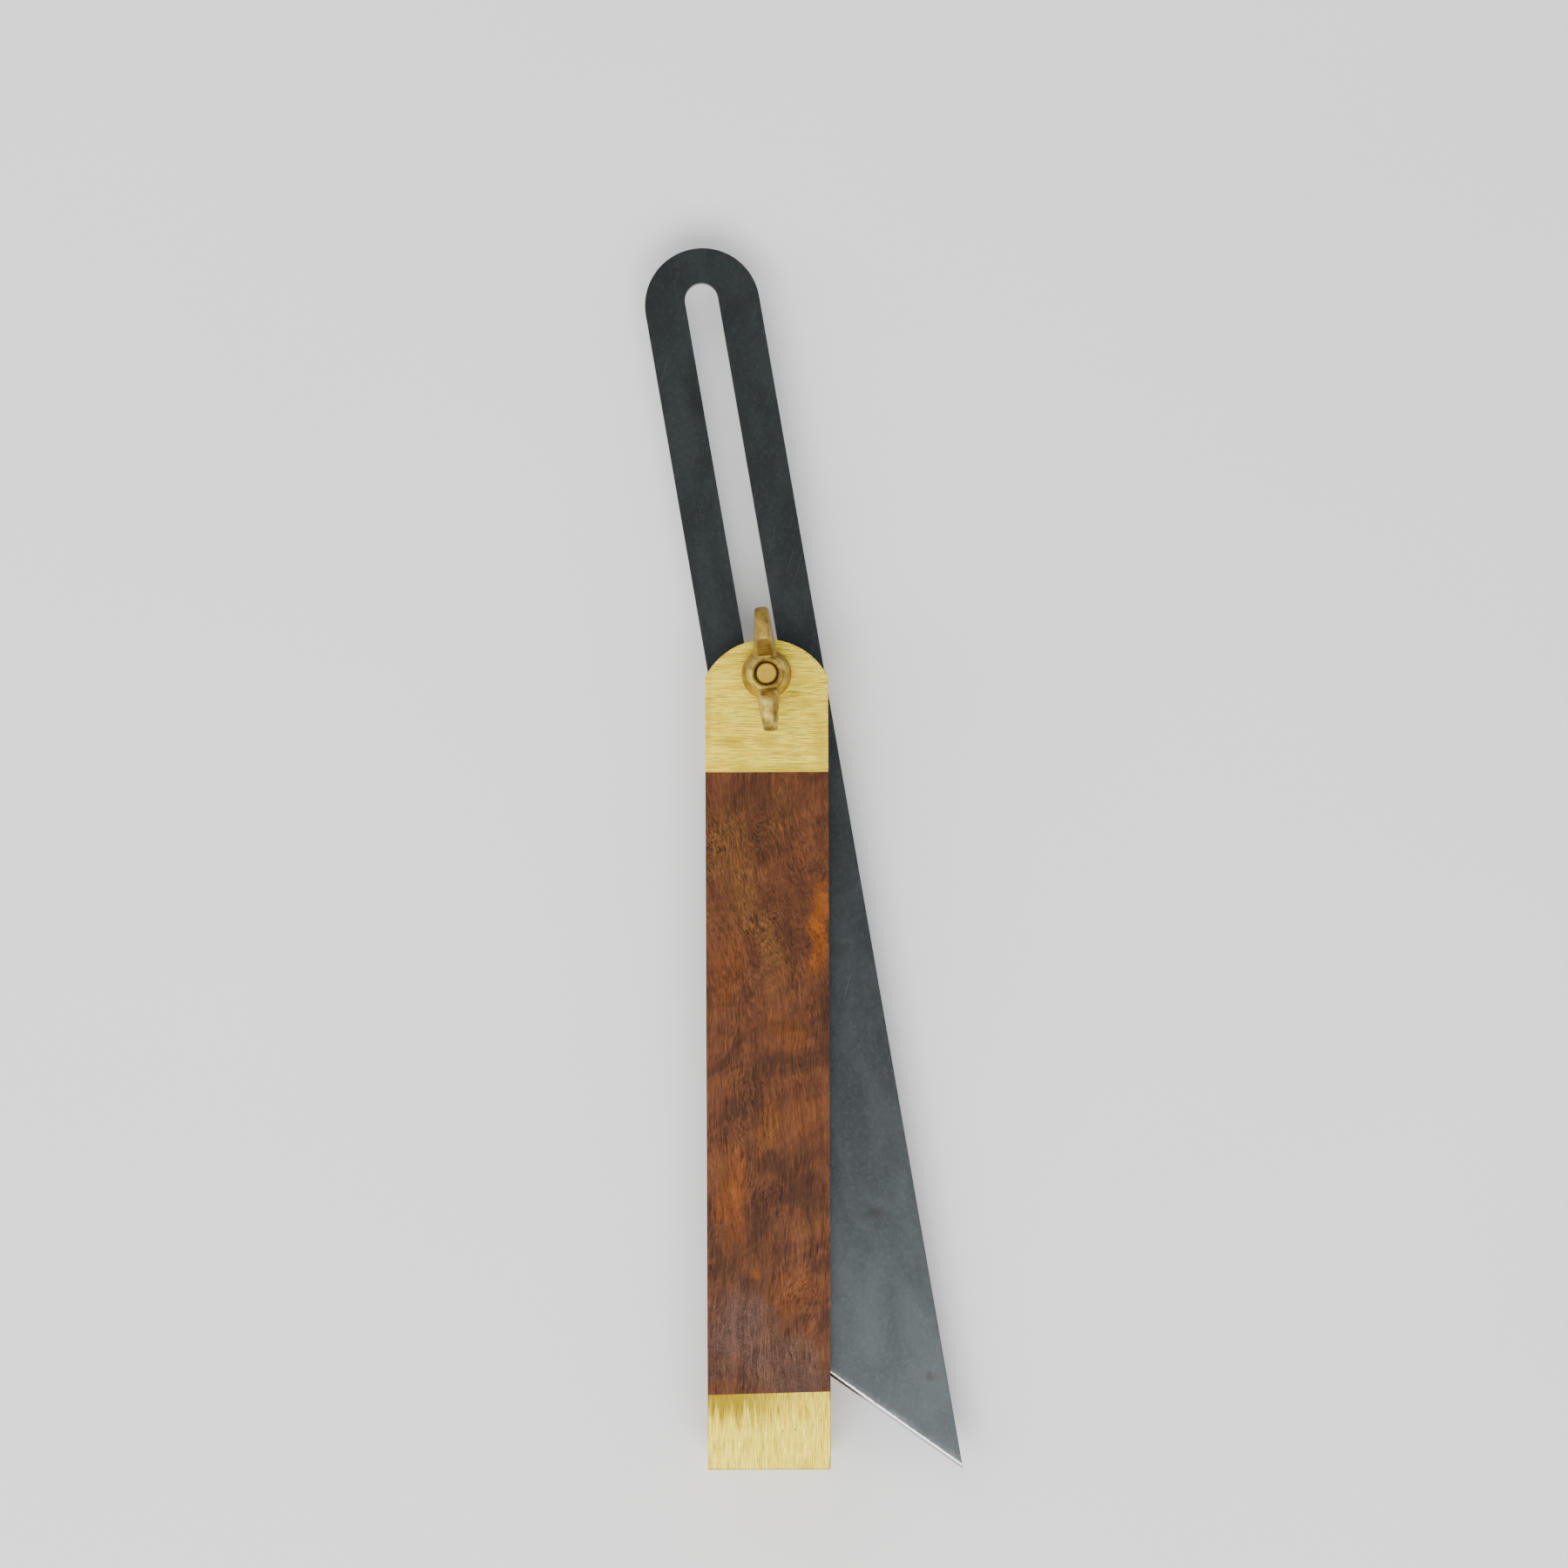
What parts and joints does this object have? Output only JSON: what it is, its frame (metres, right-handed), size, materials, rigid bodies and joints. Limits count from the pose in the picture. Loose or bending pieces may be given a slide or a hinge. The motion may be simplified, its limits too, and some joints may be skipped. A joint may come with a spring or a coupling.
{
  "type": "sliding bevel",
  "caption": "Carpenter's sliding bevel: a slotted blued steel blade that swings and slides in a hardwood stock with brass ends, locked by a wing nut.",
  "frame": {"origin": "middle of the stock's back face, halfway between the top of the head and the butt end", "axes": "+Z out of the stock's front face towards the wing nut, +Y along the stock towards its rounded head, +X towards the side that the blade hangs out of at rest"},
  "size_m": [0.067, 0.261, 0.0336],
  "materials": {
    "hardwood": "oiled reddish brown hardwood with dark pores",
    "brass": "brushed, lightly tarnished",
    "cast_brass": "as cast, dull",
    "blued_steel": "blued, satin"
  },
  "bodies": {
    "stock": {"front_cheek": "hardwood", "back_cheek": "hardwood", "butt_spacer": "hardwood", "front_head_plate": "brass", "back_head_plate": "brass", "front_head_pin_1": "brass", "front_head_pin_2": "brass", "back_head_pin_1": "brass", "back_head_pin_2": "brass", "butt_strap": "brass", "butt_rivet_1": "brass", "butt_rivet_2": "brass", "pivot_screw": "brass"},
    "pivot_block": {"slide_block": "brass"},
    "blade": {"blade": "blued_steel"},
    "washer": {"washer": "brass"},
    "wing_nut": {"wing_nut": "cast_brass"}
  },
  "joints": [
    {"name": "blade_pivot", "type": "hinge", "parent": "stock", "child": "pivot_block", "pos_m": [0, 0.08025, 0.0095], "axis": [0, 0, 1], "range_deg": [0, 340]},
    {"name": "blade_slide", "type": "slide", "parent": "pivot_block", "child": "blade", "axis": [0.1677, -0.9858, 0], "range_m": [-0.0277, 0.0797]},
    {"name": "wing_nut_lift", "type": "slide", "parent": "stock", "child": "washer", "axis": [0, 0, 1], "range_m": [0, 0.0018]},
    {"name": "wing_nut_turn", "type": "hinge", "parent": "washer", "child": "wing_nut", "pos_m": [0, 0.08025, 0.0206], "axis": [0, 0, 1], "range_deg": [0, 810]}
  ],
  "couplings": [
    {"joint": "wing_nut_lift", "follows": "wing_nut_turn", "m_per_rad": 0.00012732}
  ]
}
